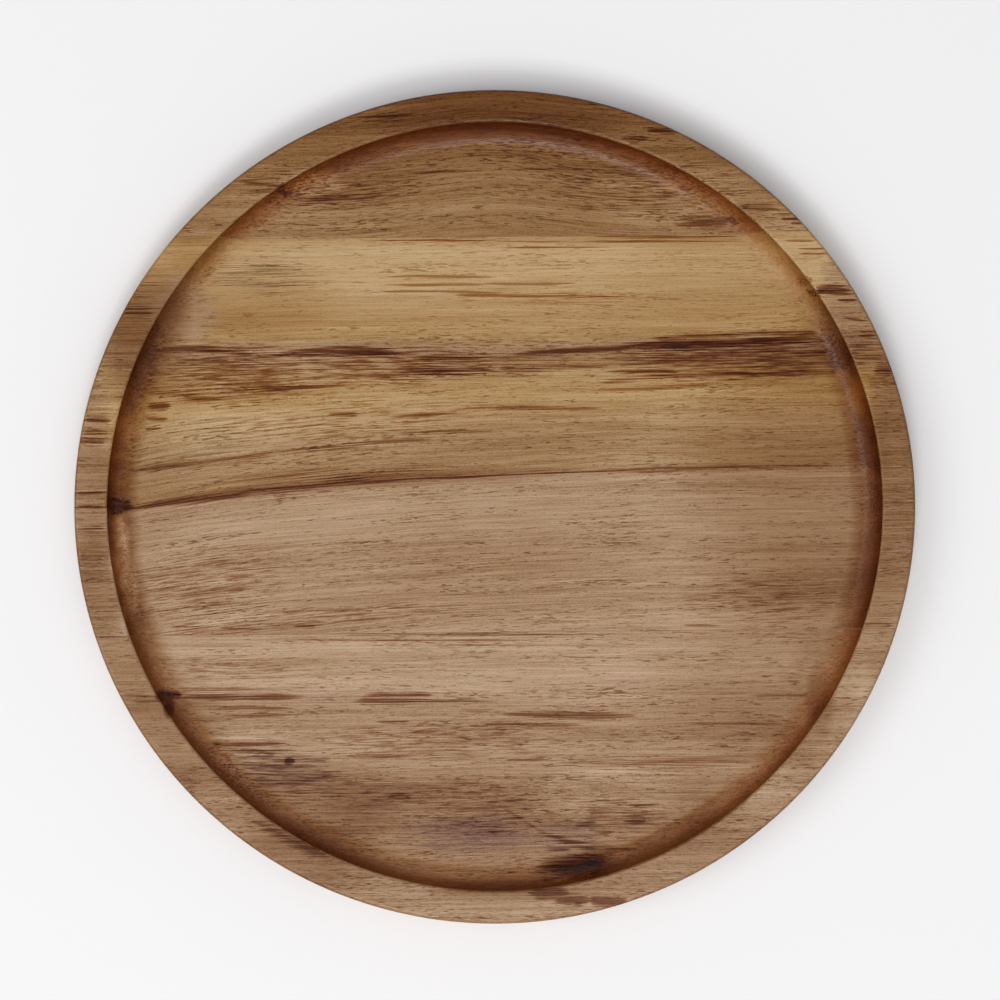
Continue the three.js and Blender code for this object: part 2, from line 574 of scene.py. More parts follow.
# %% Group: patch
patch, sheet, entry, result = new_group(
    "patch",
    {
        "Marks": VECTOR,
        "Middle Along": FLOAT,
        "Middle Across": FLOAT,
        "Half Length": FLOAT,
        "Half Width": FLOAT,
        "Strength": FLOAT,
    },
    {"Mask": FLOAT},
)
along, across, depth = sheet.parts(entry["Marks"])
lengthwise = sheet.math("SUBTRACT", along, entry["Middle Along"])
lengthwise = sheet.math("DIVIDE", lengthwise, entry["Half Length"])
crosswise = sheet.math("SUBTRACT", across, entry["Middle Across"])
crosswise = sheet.math("DIVIDE", crosswise, entry["Half Width"])
away = sheet.math("MULTIPLY", lengthwise, lengthwise)
away = sheet.math("MULTIPLY_ADD", crosswise, crosswise, away)
sheet.feed(result["Mask"], sheet.math("MULTIPLY", sheet.ramp(away, 1.0, 0.0), entry["Strength"]))
print("patch:", len(patch.nodes), "nodes")

# %% [markdown]
# The cove and the outer edge are darker than the flats. Part of that is real: the cutter burnishes them,
# and where it crosses the fibres the open end grain drinks more oil. Part of it is painted shade: the shade
# in the recess and on the rounded outer edge, and on one board at the foot of the cove. This group finds
# those places from the turned profile alone: how far a point is from the axis and how high it lies. A
# little noise makes the edge of the darkened wood waver.

# %% Group: turned places
UNEVEN_SIZE = (4, 0.9, 4)
UNEVEN_REACH = 3.5
SOAKED_INSIDE_FOOT = 2.5
LIP_FADE = (1.0, 0.3)
BELOW_LIP_FADE = (-0.5, -1.4)
FLOOR_FADE = (-1.0, -0.5)
FOOT_FADE = (0.4, 2.0)
OUTER_FADE = (-1.4, -0.2)
turned_places, sheet, entry, result = new_group(
    "turned places",
    {"Position": VECTOR},
    {"Cove": FLOAT, "Cove Foot": FLOAT, "Outer Edge": FLOAT, "End Grain": FLOAT},
)
along, across, depth = sheet.parts(entry["Position"])
across = sheet.math("DIVIDE", across, ACROSS_GRAIN)
squares = sheet.math("MULTIPLY_ADD", across, across, sheet.math("MULTIPLY", along, along))
axis_distance = sheet.math("SQRT", squares)
end_grain = sheet.math("DIVIDE", sheet.math("ABSOLUTE", along), sheet.math("MAXIMUM", axis_distance, 1.0))
recess_mm = RECESS_RADIUS * MM
foot_mm = recess_mm - COVE_RADIUS * MM
uneven = sheet.centred(sheet.spread_noise(entry["Position"], UNEVEN_SIZE, 2.0))
wavering = sheet.math("MULTIPLY_ADD", uneven, UNEVEN_REACH, axis_distance)
up_the_cove = sheet.ramp(wavering, foot_mm - SOAKED_INSIDE_FOOT, recess_mm, smooth=False)
inward = sheet.fade(axis_distance, recess_mm, LIP_FADE)
below_lip = sheet.fade(depth, TRAY_HEIGHT * MM, BELOW_LIP_FADE)
above_underside = sheet.fade(depth, FLOOR_HEIGHT * MM, FLOOR_FADE)
cove = sheet.chain("MULTIPLY", [up_the_cove, inward, below_lip, above_underside])
past_foot = sheet.fade(axis_distance, foot_mm, FOOT_FADE)
foot = sheet.chain("MULTIPLY", [past_foot, inward, above_underside])
sheet.feed(result["Cove"], cove)
sheet.feed(result["Cove Foot"], sheet.math("MULTIPLY", foot, sheet.math("SUBTRACT", 1.0, cove)))
sheet.feed(result["Outer Edge"], sheet.fade(axis_distance, TRAY_RADIUS * MM, OUTER_FADE))
sheet.feed(result["End Grain"], end_grain)
print("turned places:", len(turned_places.nodes), "nodes")

# %% [markdown]
# Heartwood never ends in a clean edge: its colour creeps along single fibres. This group frays a smooth
# field, such as a streak, with two finenesses of grain lines, so that half of the fibres turn dark where
# the field is half strong.

# %% Group: frayed
LINES_PUSH = 0.5
FINE_PUSH = 0.9
TORN_RANGE = (0.15, 0.95)
WHOLE_FROM = 0.25
frayed, sheet, entry, result = new_group(
    "frayed",
    {"Field": FLOAT, "Lines": FLOAT, "Fine": FLOAT},
    {"Mask": FLOAT},
)
pushed = sheet.math("MULTIPLY_ADD", sheet.centred(entry["Lines"]), LINES_PUSH, entry["Field"])
pushed = sheet.math("MULTIPLY_ADD", sheet.centred(entry["Fine"]), FINE_PUSH, pushed)
torn = sheet.ramp(pushed, *TORN_RANGE)
sheet.feed(result["Mask"], sheet.math("MULTIPLY", torn, sheet.ramp(entry["Field"], 0.0, WHOLE_FROM)))
print("frayed:", len(frayed.nodes), "nodes")

# %% [markdown]
# The last layer is the same on every board. Light goes a little way into wood before it comes back, so a
# spot with more pigment doesn't just get darker: its colour is raised to a higher power and turns redder as
# well. One Gamma node does that, and its exponent is the density of pigment. Soft bands, fibres, hair
# lines, flecks and pores all add to the density. A plain darkening would be simpler, but it turns wood
# grey.

# %% Group: oiled surface, its lines and pores
SOFT_BANDS = LineSet(170.0, 6.0, 4.0, 2.0)
FIBRES = LineSet(50.0, 1.2, 4.0, 2.0)
HAIR_LINES = LineSet(24.0, 0.5, 2.0, 2.6)
BAND_SHADE, FIBRE_SHADE, HAIR_SHADE, FLECK_SHADE, PORE_SHADE = 0.34, 0.36, 0.30, 0.45, 0.62
FLECK_SIZE = (0.9, 0.45, 0.45)
PALE_SHARE = 0.65
PORE_LENGTH, PORE_WIDTH, MEAN_PORES = 3.6, 0.42, 0.06
oiled_surface, sheet, entry, result = new_group(
    "oiled surface",
    {
        "Position": VECTOR,
        "Grain": VECTOR,
        "Colour": COLOUR,
        "Density": FLOAT,
        "Heartwood": FLOAT,
        "Line Strength": FLOAT,
        "Pore Amount": FLOAT,
        "Side Soak": FLOAT,
        "End Soak": FLOAT,
        "Foot Soak": FLOAT,
        "Glow": FLOAT,
    },
    {"Colour": COLOUR, "Roughness": FLOAT, "Height": FLOAT},
)
grain = entry["Grain"]
soft = lines_along(sheet, grain, SOFT_BANDS)
fibre = lines_along(sheet, grain, FIBRES)
hair = lines_along(sheet, grain, HAIR_LINES)
pore_feeds = {"Grain": grain, "Length": PORE_LENGTH, "Width": PORE_WIDTH, "Amount": entry["Pore Amount"]}
dashes = sheet.group(pores, **pore_feeds)["Mask"]
fleck = sheet.spread_noise(grain, FLECK_SIZE, 1.0)
shade = sheet.math("MULTIPLY", sheet.centred(soft), BAND_SHADE)
for layer, amount in ((fibre, FIBRE_SHADE), (hair, HAIR_SHADE), (fleck, FLECK_SHADE)):
    shade = sheet.math("MULTIPLY_ADD", sheet.centred(layer), amount, shade)
shade = sheet.math("MAXIMUM", shade, sheet.math("MULTIPLY", shade, PALE_SHARE))
shade = sheet.math("MULTIPLY_ADD", sheet.math("SUBTRACT", dashes, MEAN_PORES), PORE_SHADE, shade)
density = sheet.math("MULTIPLY_ADD", shade, entry["Line Strength"], entry["Density"])
print("oiled surface so far:", len(oiled_surface.nodes), "nodes")

# %% [markdown]
# Oil adds to the density too, where the cove meets the ends of the fibres. Up the sides of the cove and
# along the outer edge the added density is partly oil and partly painted shade, and on one board the foot
# of the cove gets painted shade. The orange tint in the cove, stronger on some boards than on others, is
# painted warm bounce light and shade. A second Gamma node gives heartwood its redder cast.

# %% Group: oiled surface, its oil and painted shade, colour and gloss
BLOTCH_SIZE = (8, 6, 6)
BLOTCH_NOISE = (0.3, 0.7)
BLOTCH_SOAK = (0.8, 1.2)
END_GRAIN_FROM = 0.75
# Painted shade up the cove's sides, added to the real oil there, strongest near the lip.
SIDE_SOAK_AND_SHADE_POWER = 2.0
# The darker outer edge is partly oil and partly painted shade on the rounded edge.
OUTER_EDGE_SOAK_AND_SHADE = 0.3
# An orange tint up the cove: painted warm bounce light and shade.
COVE_GLOW = (0.97, 0.56, 0.21, 1.0)
GLOW_POWER = 1.5
HEART_CAST = (1.0, 0.86, 0.92, 1.0)
FLAT_ROUGHNESS, COVE_ROUGHNESS, PORE_ROUGHNESS = 0.29, 0.27, 0.12
HAIR_HEIGHT = 0.25
places = sheet.group(turned_places, Position=entry["Position"])
blotch = sheet.spread_noise(entry["Position"], BLOTCH_SIZE, 2.0)
blotch = sheet.ramp(blotch, *BLOTCH_NOISE, *BLOTCH_SOAK)
end_share = sheet.ramp(places["End Grain"], END_GRAIN_FROM, 1.0)
end_soak = sheet.chain("MULTIPLY", [entry["End Soak"], end_share, places["Cove"]])
side_share = sheet.math("SUBTRACT", 1.0, end_share)
high_in_cove = sheet.math("POWER", places["Cove"], SIDE_SOAK_AND_SHADE_POWER)
side_soak_and_shade = sheet.chain("MULTIPLY", [entry["Side Soak"], side_share, high_in_cove])
density = sheet.math("MULTIPLY_ADD", sheet.math("ADD", end_soak, side_soak_and_shade), blotch, density)
# Painted shade at the foot of the cove, on the board whose rim shades it.
density = sheet.math("MULTIPLY_ADD", places["Cove Foot"], entry["Foot Soak"], density)
density = sheet.math("MULTIPLY_ADD", places["Outer Edge"], OUTER_EDGE_SOAK_AND_SHADE, density)
colour = sheet.node("ShaderNodeGamma", {"Color": entry["Colour"], "Gamma": density}).outputs[0]
cast = sheet.node("ShaderNodeGamma", {"Color": HEART_CAST, "Gamma": entry["Heartwood"]}).outputs[0]
colour = sheet.mix(1.0, colour, cast, "MULTIPLY")
glow = sheet.math("MULTIPLY", sheet.math("POWER", places["Cove"], GLOW_POWER), entry["Glow"])
sheet.feed(result["Colour"], sheet.mix(glow, colour, COVE_GLOW, "MULTIPLY"))
roughness = sheet.ramp(places["Cove"], 0.0, 1.0, FLAT_ROUGHNESS, COVE_ROUGHNESS, smooth=False)
sheet.feed(result["Roughness"], sheet.math("MULTIPLY_ADD", dashes, PORE_ROUGHNESS, roughness))
sheet.feed(result["Height"], sheet.math("SUBTRACT", sheet.math("MULTIPLY", hair, HAIR_HEIGHT), dashes))
print("oiled surface:", len(oiled_surface.nodes), "nodes")

# %% [markdown]
# ## Tones and marks
# A few named tones are enough for all the boards: straw and gold sapwood, tan and russet heartwood, and a
# purple and an olive cast. The streaks need no tones of their own, only more pigment, from faint to bark. A
# mark names its two ends as pixels of the photograph, with its width and its bow in pixels too. A zone is a
# soft ellipse, named by its middle and half size.

# %% Name the tones, the pigments and the form of a mark
STRAW = looks(185, 153, 110)
GOLD = looks(175, 141, 95)
TAN = looks(168, 136, 105)
RUSSET = looks(168, 135, 98)
PURPLE = looks(122, 86, 70)
OLIVE = looks(122, 94, 60)
FAINT, RUST, PLUM, BARK = 0.7, 0.9, 1.2, 1.9


def deep(tone, density):
    """A tone with more or less of its own pigment."""
    return (*(value**density for value in tone[:3]), 1.0)


Mark = namedtuple("Mark", "left right width strength bow", defaults=(0,))
Zone = namedtuple("Zone", "middle half_size strength")
Stroke = namedtuple("Stroke", [name.replace(" ", "_") for name in STREAK_FORM])
NO_STROKE = Stroke(0.0, 1.0, 0.0, 0.0, 0.0, 1.0, 0.0)
RIM_LEVEL = TRAY_HEIGHT
PIXELS_PER_MM = CAMERA_LENS / SENSOR_WIDTH * IMAGE_SIDE / CAMERA_DISTANCE / MM
print(f"one millimetre is {PIXELS_PER_MM:.2f} pixels")

# %% [markdown]
# ## The wood of a board
# Each board's wood is kept in one object: its material, the coordinates that its marks use, and the colour
# and pigment laid so far. Every layer adds to what is there: bands of tone first, then zones, streaks and
# swarms of dashes, and the oiled surface last. The figure could be painted on an image, but a solid texture
# that the turned shape cuts runs on down the cove and the outer wall, as real grain does.

# %% A class for the wood of a board
LONG_LINES = LineSet(70.0, 0.9, 4.0, 2.2)
FINE_LINES = LineSet(28.0, 0.5, 2.0, 2.8)
SHORT_LINES = LineSet(9.0, 0.6, 2.0, 2.8)
BAND_FRAY = 3.0
STROKE_SPREAD = 0.75
RIM_MARK_DEPTH = 9.0
ZONE_LEAST, ZONE_BY_LINES = 0.75, 0.5
BUMP_DISTANCE, BUMP_STRENGTH = 0.00008, 0.6
WOOD_SPECULAR = 0.2


class BoardWood:
    """The wood of one board: its sheet, the coordinates of its marks, and its colour and pigment so far."""

    def __init__(self, name, seed, wander, bend=None):
        self.material, self.sheet, self.position = new_material(name)
        self.bend = bend
        shaded_bend = bend.nodes(self.sheet, self.position) if bend else 0.0
        feeds = {"Position": self.position, "Bend": shaded_bend, "Wander": wander, "Seed": seed}
        flow = self.sheet.group(grain_flow, **feeds)
        self.grain = flow["Grain"]
        self.marks = flow["Marks"]
        along, self.across, height = self.sheet.parts(self.marks)
        self.near_rim = self.sheet.ramp(height, RIM_LEVEL * MM - RIM_MARK_DEPTH, RIM_LEVEL * MM)
        self.along_thrice = self.sheet.vector(along, along, along)
        self.across_thrice = self.sheet.vector(self.across, self.across, self.across)
        self.lines = lines_along(self.sheet, self.grain, LONG_LINES)
        self.fine = lines_along(self.sheet, self.grain, FINE_LINES)
        self.short = lines_along(self.sheet, self.grain, SHORT_LINES)
        self.colour = None
        self.density = 1.0
        self.heartwood = 0.0

    def tell(self, kind, made):
        """Prints how many of a kind were made."""
        print(f"{self.material.name}, {kind}: {len(made)}")

    def place(self, pixel, level):
        """A pixel as a point of this board in the coordinates that its marks use."""
        met = seen_at(pixel, level)
        if self.bend:
            met.y -= self.bend.value(met.x, met.y)
        return met

    def bands(self, front, rear, stops):
        """Colours the board by tones across the grain, each at a distance in millimetres from the axis."""
        fray = self.sheet.centred(self.lines)
        across = self.sheet.math("MULTIPLY_ADD", fray, BAND_FRAY, self.across)
        share = self.sheet.ramp(across, front, rear, smooth=False)
        ramp = self.sheet.node("ShaderNodeValToRGB", {"Fac": share})
        elements = ramp.color_ramp.elements
        while len(elements) < len(stops):
            elements.new(0.5)
        for element, (distance, tone) in zip(elements, sorted(stops)):
            element.position = (distance - front) / (rear - front)
            element.color = tone
        self.colour = ramp.outputs["Color"]
        self.tell("tones across the grain", stops)

    def fray(self, field, lines, fine):
        """A field that creeps along the fibres instead of ending in a clean edge."""
        return self.sheet.group(frayed, Field=field, Lines=lines, Fine=fine)["Mask"]

    def darken(self, mask, pigment):
        """Adds heartwood, which is denser and redder than the wood round it."""
        amount = self.sheet.math("MULTIPLY", mask, pigment)
        self.density = self.sheet.math("ADD", amount, self.density)
        self.heartwood = self.sheet.math("ADD", amount, self.heartwood)

    def stroke(self, mark, level):
        """A mark of the photograph as a stroke in this board's coordinates."""
        left = self.place(mark.left, level)
        right = self.place(mark.right, level)
        middle = (left + right) / 2
        half = (right - left) / 2
        half_width = mark.width / PIXELS_PER_MM * STROKE_SPREAD
        return Stroke(middle.x, half.x, middle.y, half.y, mark.bow / PIXELS_PER_MM, half_width, mark.strength)

    def streaks(self, pigment, level, marks, torn=True):
        """Adds pigment along named streaks on one level of the tray, three to a group.

        Streaks on the rim fade with depth, and streaks that aren't torn keep their soft edges.
        """
        names = list(marks)
        strokes = [self.stroke(mark, level) for mark in marks.values()]
        strokes += [NO_STROKE] * (-len(strokes) % 3)
        masks = []
        for first in range(0, len(strokes), 3):
            trio = Stroke(*zip(*strokes[first : first + 3]))
            label = ", ".join(names[first : first + 3])
            places = {"Along": self.along_thrice, "Across": self.across_thrice}
            masks.append(self.sheet.group(three_streaks, label, **places, **trio._asdict())["Mask"])
        field = self.sheet.chain("MAXIMUM", masks)
        if level == RIM_LEVEL:
            field = self.sheet.math("MULTIPLY", field, self.near_rim)
        if torn:
            field = self.fray(field, self.lines, self.fine)
        self.darken(field, pigment)
        self.tell("streaks", marks)

    def zone(self, name, zone, level):
        """The mask of one soft zone."""
        middle = self.place(zone.middle, level)
        return self.sheet.group(
            patch,
            name,
            Marks=self.marks,
            Middle_Along=middle.x,
            Middle_Across=middle.y,
            Half_Length=zone.half_size[0] / PIXELS_PER_MM,
            Half_Width=zone.half_size[1] / PIXELS_PER_MM,
            Strength=zone.strength,
        )["Mask"]

    def strongest(self, level, zones):
        """The strongest of several zones at each point."""
        masks = [self.zone(name, zone, level) for name, zone in zones.items()]
        return self.sheet.chain("MAXIMUM", masks)

    def swarms(self, pigment, level, zones):
        """Adds pigment in named zones on one level of the tray, torn into many short dashes."""
        self.darken(self.fray(self.strongest(level, zones), self.fine, self.short), pigment)
        self.tell("swarms of dashes", zones)

    def tint(self, tone, level, zones):
        """Lays named soft zones of one tone on one level of the tray."""
        torn = self.fray(self.strongest(level, zones), self.lines, self.fine)
        self.colour = self.sheet.mix(torn, self.colour, tone)
        self.tell("tinted zones", zones)

    def pigment(self, level, zones):
        """Adds pigment in named zones on one level of the tray. A strength below zero takes it away."""
        for name, zone in zones.items():
            mask = self.zone(name, zone, level)
            uneven = self.sheet.math("MULTIPLY_ADD", self.lines, ZONE_BY_LINES, ZONE_LEAST)
            uneven = self.sheet.math("MULTIPLY", mask, uneven)
            self.density = self.sheet.math("ADD", self.density, uneven)
        self.tell("zones of pigment", zones)

    def finish(self, line_strength, pore_amount, side_soak_and_shade, end_soak, glow, foot_shade=0.0):
        """Adds the oiled surface and the shader, and returns the material."""
        surface = self.sheet.group(
            oiled_surface,
            Position=self.position,
            Grain=self.grain,
            Colour=self.colour,
            Density=self.density,
            Heartwood=self.heartwood,
            Line_Strength=line_strength,
            Pore_Amount=pore_amount,
            Side_Soak=side_soak_and_shade,
            End_Soak=end_soak,
            Foot_Soak=foot_shade,
            Glow=glow,
        )
        bump_feeds = {"Height": surface["Height"], "Distance": BUMP_DISTANCE, "Strength": BUMP_STRENGTH}
        shader = self.sheet.node(
            "ShaderNodeBsdfPrincipled",
            {
                "Base Color": surface["Colour"],
                "Roughness": surface["Roughness"],
                "Specular IOR Level": WOOD_SPECULAR,
                "Normal": self.sheet.node("ShaderNodeBump", bump_feeds).outputs["Normal"],
            },
        )
        self.sheet.node("ShaderNodeOutputMaterial", {"Surface": shader.outputs[0]})
        self.tell("nodes", self.material.node_tree.nodes)
        return self.material


print("marks on the rim reach", RIM_MARK_DEPTH, "mm down")

# %% [markdown]
# ## Middle board
# The wide board is the golden one. Its grain bends down towards the left, and a long thin streak shows the
# bend best: it falls away exponentially to the left of the picture, as far as the cove. The formula is
# written twice, once for shader nodes and once in Python, so that the marks can be placed in the same bent
# coordinates.

# %% The bend of the middle board
BEND_DROP = 2.54
BEND_LENGTH = 79.4
BEND_FULL_BELOW = 8.0
BEND_NONE_ABOVE = 62.0
BEND_END = -132.0
BEND_MARGIN = 15
BAND_MARGIN = 5


class FallingBend:
    """Grain that falls away to the left, in the lower part of the board."""

    def value(self, along, across):
        fade = min(max((BEND_NONE_ABOVE - across) / (BEND_NONE_ABOVE - BEND_FULL_BELOW), 0.0), 1.0)
        fall = math.exp(-max(along, BEND_END) / BEND_LENGTH)
        return -BEND_DROP * fall * fade * fade * (3 - 2 * fade)

    def nodes(self, sheet, position):
        along, across, depth = sheet.parts(position)
        along = sheet.math("MAXIMUM", along, BEND_END)
        fall = sheet.math("EXPONENT", sheet.math("MULTIPLY", along, -1 / BEND_LENGTH))
        fade = sheet.ramp(across, BEND_NONE_ABOVE, BEND_FULL_BELOW)
        return sheet.math("MULTIPLY", sheet.math("MULTIPLY", fall, -BEND_DROP), fade)


bend_at_left = FallingBend().value(BEND_END, BEND_FULL_BELOW)
print(f"the grain bends by {bend_at_left:.1f} mm at the left cove")

# %% Tones and soft zones of the middle board
middle_low, middle_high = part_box("middle_board")
middle_wood = BoardWood("middle_wood", seed=1.0, wander=2.4, bend=FallingBend())
middle_wood.bands(middle_low.y * MM - BEND_MARGIN, middle_high.y * MM + BAND_MARGIN, [
    (98, deep(STRAW, 1.3)),
    (94, STRAW),
    (82, STRAW),
    (70, deep(STRAW, 1.27)),
    (63, deep(GOLD, 1.12)),
    (58, deep(TAN, 1.14)),
    (45, deep(GOLD, 1.1)),
    (40, GOLD),
    (28, deep(RUSSET, 1.08)),
    (14.6, deep(RUSSET, 1.15)),
    (12.8, TAN),
    (-10, TAN),
    (-28, deep(TAN, 1.1)),
    (-44, TAN),
])
middle_wood.pigment(FLOOR_HEIGHT, {
    "straw, darker left": Zone((240, 300), (120, 60), 0.2),
    "darker left end": Zone((140, 500), (70, 80), 0.1),
    "darker right end": Zone((860, 480), (220, 190), 0.36),
    "dark end at lower right": Zone((800, 600), (130, 60), 0.1),
    "dark band, right": Zone((760, 356), (180, 32), 0.12),
    "straw, darker right": Zone((710, 280), (130, 50), 0.14),
    "pale gold left": Zone((235, 430), (80, 24), -0.12),
    "darker gold": Zone((520, 420), (160, 60), 0.1),
    "pale at lower left": Zone((230, 600), (90, 36), -0.08),
    "tan, middle": Zone((500, 545), (190, 70), 0.08),
})
middle_wood.pigment(RIM_LEVEL, {
    "upper left rim": Zone((140, 320), (56, 90), 0.48),
    "lower left rim": Zone((96, 590), (36, 75), 0.35),
    "right rim": Zone((907, 500), (28, 160), -0.1),
    "upper right rim": Zone((850, 310), (46, 80), -0.08),
    "upper left rim by the joint": Zone((192, 250), (36, 34), 0.35),
})
middle_wood.pigment(COVE_LEVEL, {
    "left knot": Zone((114, 505), (8, 10), 0.7),
    "left knot, point": Zone((123, 507), (12, 5), 1.1),
    "left cove": Zone((120, 552), (11, 48), -0.8),
    "lower left cove": Zone((129, 595), (11, 40), -0.5),
    "pale cove under the knot": Zone((117, 524), (9, 10), -0.3),
})
middle_wood.tint(OLIVE, FLOOR_HEIGHT, {
    "haze at upper left": Zone((262, 276), (85, 26), 0.4),
    "haze at left": Zone((190, 445), (90, 30), 0.3),
})
middle_wood.tint(deep(TAN, 0.95), FLOOR_HEIGHT, {
    "grey at upper left": Zone((178, 312), (56, 52), 0.9),
})
middle_wood.tint(deep(TAN, 1.3), RIM_LEVEL, {
    "tan on the left rim": Zone((88, 480), (32, 170), 0.8),
    "tan on the right rim": Zone((900, 440), (40, 200), 0.8),
    "tan at upper left": Zone((130, 335), (40, 70), 0.7),
    "tan at upper right": Zone((850, 308), (42, 80), 0.9),
})

# %% Faint marks of the middle board
middle_wood.streaks(FAINT, FLOOR_HEIGHT, {
    "first fine line": Mark((380, 277), (502, 277), 3, 1.2),
    "second fine line": Mark((380, 285), (500, 285), 3, 1.2),
    "third fine line": Mark((370, 291), (505, 293), 3, 1.2),
    "line across the middle": Mark((478, 284), (578, 284), 4, 1.2),
    "line under the band": Mark((480, 408), (608, 409), 6, 0.8),
    "rising line": Mark((368, 421), (505, 405), 5, 0.9),
    "level line": Mark((375, 432), (508, 432), 5, 0.7),
    "bent line at left": Mark((128, 472), (285, 454), 6, 1.0),
    "bent line further on": Mark((268, 455), (440, 438), 5, 0.9),
    "fine lines under the dark band": Mark((588, 391), (718, 385), 5, 0.9),
    "grey dashes": Mark((144, 391), (226, 400), 9, 0.8),
    "shade over the bent line": Mark((180, 486), (480, 468), 12, 0.5),
})
middle_wood.swarms(FAINT, FLOOR_HEIGHT, {
    "dashes at lower left": Zone((205, 582), (110, 46), 0.4),
    "dashes along the joint": Zone((300, 618), (260, 14), 0.35),
    "dashes at lower right": Zone((770, 600), (120, 34), 0.35),
    "dashes in the gold": Zone((330, 420), (170, 28), 0.3),
})

# %% Rusty marks of the middle board
middle_wood.streaks(RUST, FLOOR_HEIGHT, {
    "short dark line": Mark((450, 295), (510, 296), 4, 1.0),
    "long line across the middle": Mark((480, 296), (634, 297), 5, 1.0),
    "rust line": Mark((390, 363), (508, 355), 6, 0.6),
    "sagging line at left": Mark((212, 384), (364, 383), 6, 0.8, -4),
    "reddish dash": Mark((325, 414), (360, 414), 4, 0.8),
    "wash at right": Mark((585, 357), (850, 354), 22, 0.5),
    "wash in the middle": Mark((380, 367), (630, 363), 26, 0.4),
    "bent line, fading": Mark((400, 479), (872, 466), 6, 0.6),
    "line by the joint": Mark((680, 625), (724, 625), 3, 0.7),
    "line along the rear joint": Mark((587, 236.5), (745, 236), 3, 0.8),
})
middle_wood.swarms(RUST, FLOOR_HEIGHT, {
    "broken red at left": Zone((240, 372), (98, 34), 0.6),
    "broken red in the middle": Zone((400, 366), (140, 24), 0.58),
    "broken red at right": Zone((740, 357), (170, 34), 0.58),
})

# %% Dark marks of the middle board
middle_wood.streaks(RUST, FLOOR_HEIGHT, {
    "soft heart of the bent line": Mark((130, 507), (600, 471), 13, 0.5),
}, torn=False)
middle_wood.streaks(PLUM, FLOOR_HEIGHT, {
    "bent line": Mark((116, 509), (600, 472), 4, 0.7),
    "bent line, heart": Mark((205, 497), (430, 477), 10, 0.62),
    "bent line, left end": Mark((120, 508), (262, 493), 8, 0.9),
    "dark line": Mark((505, 355), (665, 344), 6, 1.2),
    "dark line, thick end": Mark((600, 347), (838, 338), 9, 1.35),
    "upper line": Mark((640, 338), (842, 330), 4, 0.9),
    "band end": Mark((700, 339), (838, 335), 11, 0.62),
    "island": Mark((268, 356), (410, 355), 9, 0.95, 4),
    "lower island": Mark((394, 373), (508, 370), 7, 0.62),
    "middle dash": Mark((494, 369), (548, 369), 5, 0.9),
    "right dash": Mark((600, 371), (684, 371), 5, 0.9),
    "lower line": Mark((588, 382), (710, 375), 6, 0.9),
    "lower line, far end": Mark((680, 376), (848, 372), 6, 0.8),
    "left line": Mark((146, 352), (262, 355), 6, 0.85, 4),
    "dark spot": Mark((146, 406), (172, 406), 6, 1.0),
    "left dash": Mark((144, 419), (170, 419), 3, 0.9),
    "lower left dash": Mark((143, 429), (163, 429), 3, 0.8),
    "small dash": Mark((224, 405), (244, 405), 3, 0.9),
    "joint line at left": Mark((350, 240), (505, 240), 2.5, 0.8),
    "joint line at right": Mark((480, 241), (758, 241), 2.5, 0.85),
    "line under the joint": Mark((486, 247), (620, 247), 2.5, 0.8),
    "dash by the front joint": Mark((169, 627), (206, 627), 3, 0.8),
    "next dash": Mark((224, 629), (264, 629), 3, 0.8),
    "third dash": Mark((290, 626), (318, 626), 4, 0.9),
})
middle_wood.streaks(PLUM, RIM_LEVEL, {
    "left rim, first line": Mark((80, 420), (114, 420), 4, 0.7),
    "left rim, second line": Mark((80, 433), (114, 432), 4, 0.7),
    "left rim, red patch": Mark((78, 442), (108, 442), 9, 0.55),
    "left rim, plum line": Mark((73, 493), (108, 492), 4, 0.8),
    "left rim, dark line": Mark((73, 507), (111, 507), 4, 0.85),
    "left rim, lower line": Mark((74, 528), (106, 528), 5, 0.6),
    "upper left smudge": Mark((119, 313), (156, 311), 12, 0.4),
    "right rim, pale red line": Mark((810, 286), (850, 285.5), 3, 0.7),
    "right rim, dark line": Mark((814, 289.5), (854, 290), 4, 0.9),
    "right rim, next dark line": Mark((812, 292), (857, 293.5), 4, 0.9),
    "right rim, dash": Mark((836, 300), (859, 300), 3, 0.9),
    "right rim, slant dash": Mark((842, 318.5), (871, 321.5), 3, 0.85),
    "right rim, pair": Mark((858, 332), (877, 332), 3, 0.7),
    "right rim, lower of the pair": Mark((857, 336), (878, 335.5), 3, 0.85),
    "right rim, red shade": Mark((850, 348), (884, 347), 10, 0.4),
    "right rim, lower dashes": Mark((860, 357), (884, 357), 6, 0.6),
    "right rim, red edge": Mark((872, 369), (896, 369), 14, 0.65),
    "right rim, smudge": Mark((857, 624), (897, 624), 14, 0.4),
    "right rim by the joint": Mark((783, 241), (817, 241), 3, 0.7),
    "right rim, short lines": Mark((797, 249), (826, 249), 3, 0.7),
    "right rim, last of them": Mark((797, 254), (828, 254), 3, 0.7),
})
middle_wood.streaks(BARK, COVE_LEVEL, {
    "left knot, upper edge": Mark((108, 498), (132, 503), 5, 0.75),
    "left knot, lower edge": Mark((110, 513), (123, 511), 5, 0.75),
    "dark spot in the right cove": Mark((805, 291), (824, 296), 11, 0.5),
    "shade in the right cove": Mark((795, 281), (812, 283), 12, 0.4),
})

# %% Oil the middle board
STRAW_EDGE = (58.0, 68.0)
GLOW_EDGE = (35.0, 62.0)
calm_straw = middle_wood.sheet.ramp(middle_wood.across, *STRAW_EDGE, low=1.25, high=0.9)
weak_glow = middle_wood.sheet.ramp(middle_wood.across, *GLOW_EDGE, low=0.9, high=0.2)
middle_material = middle_wood.finish(
    line_strength=calm_straw, pore_amount=0.6, side_soak_and_shade=0.8, end_soak=1.1, glow=weak_glow
)
middle_board.data.materials.append(middle_material)

# %% [markdown]
# ## Rear board
# The narrow board is darker and redder, and its grain rises in a low arch in the middle, where the saw met
# the rings at a slant. Curved streaks could show the arch, but bending the coordinates once bends pores,
# lines and streaks together.

# %% The arch of the rear board
ARCH_RISE = 4.5
ARCH_REACH = 34.0


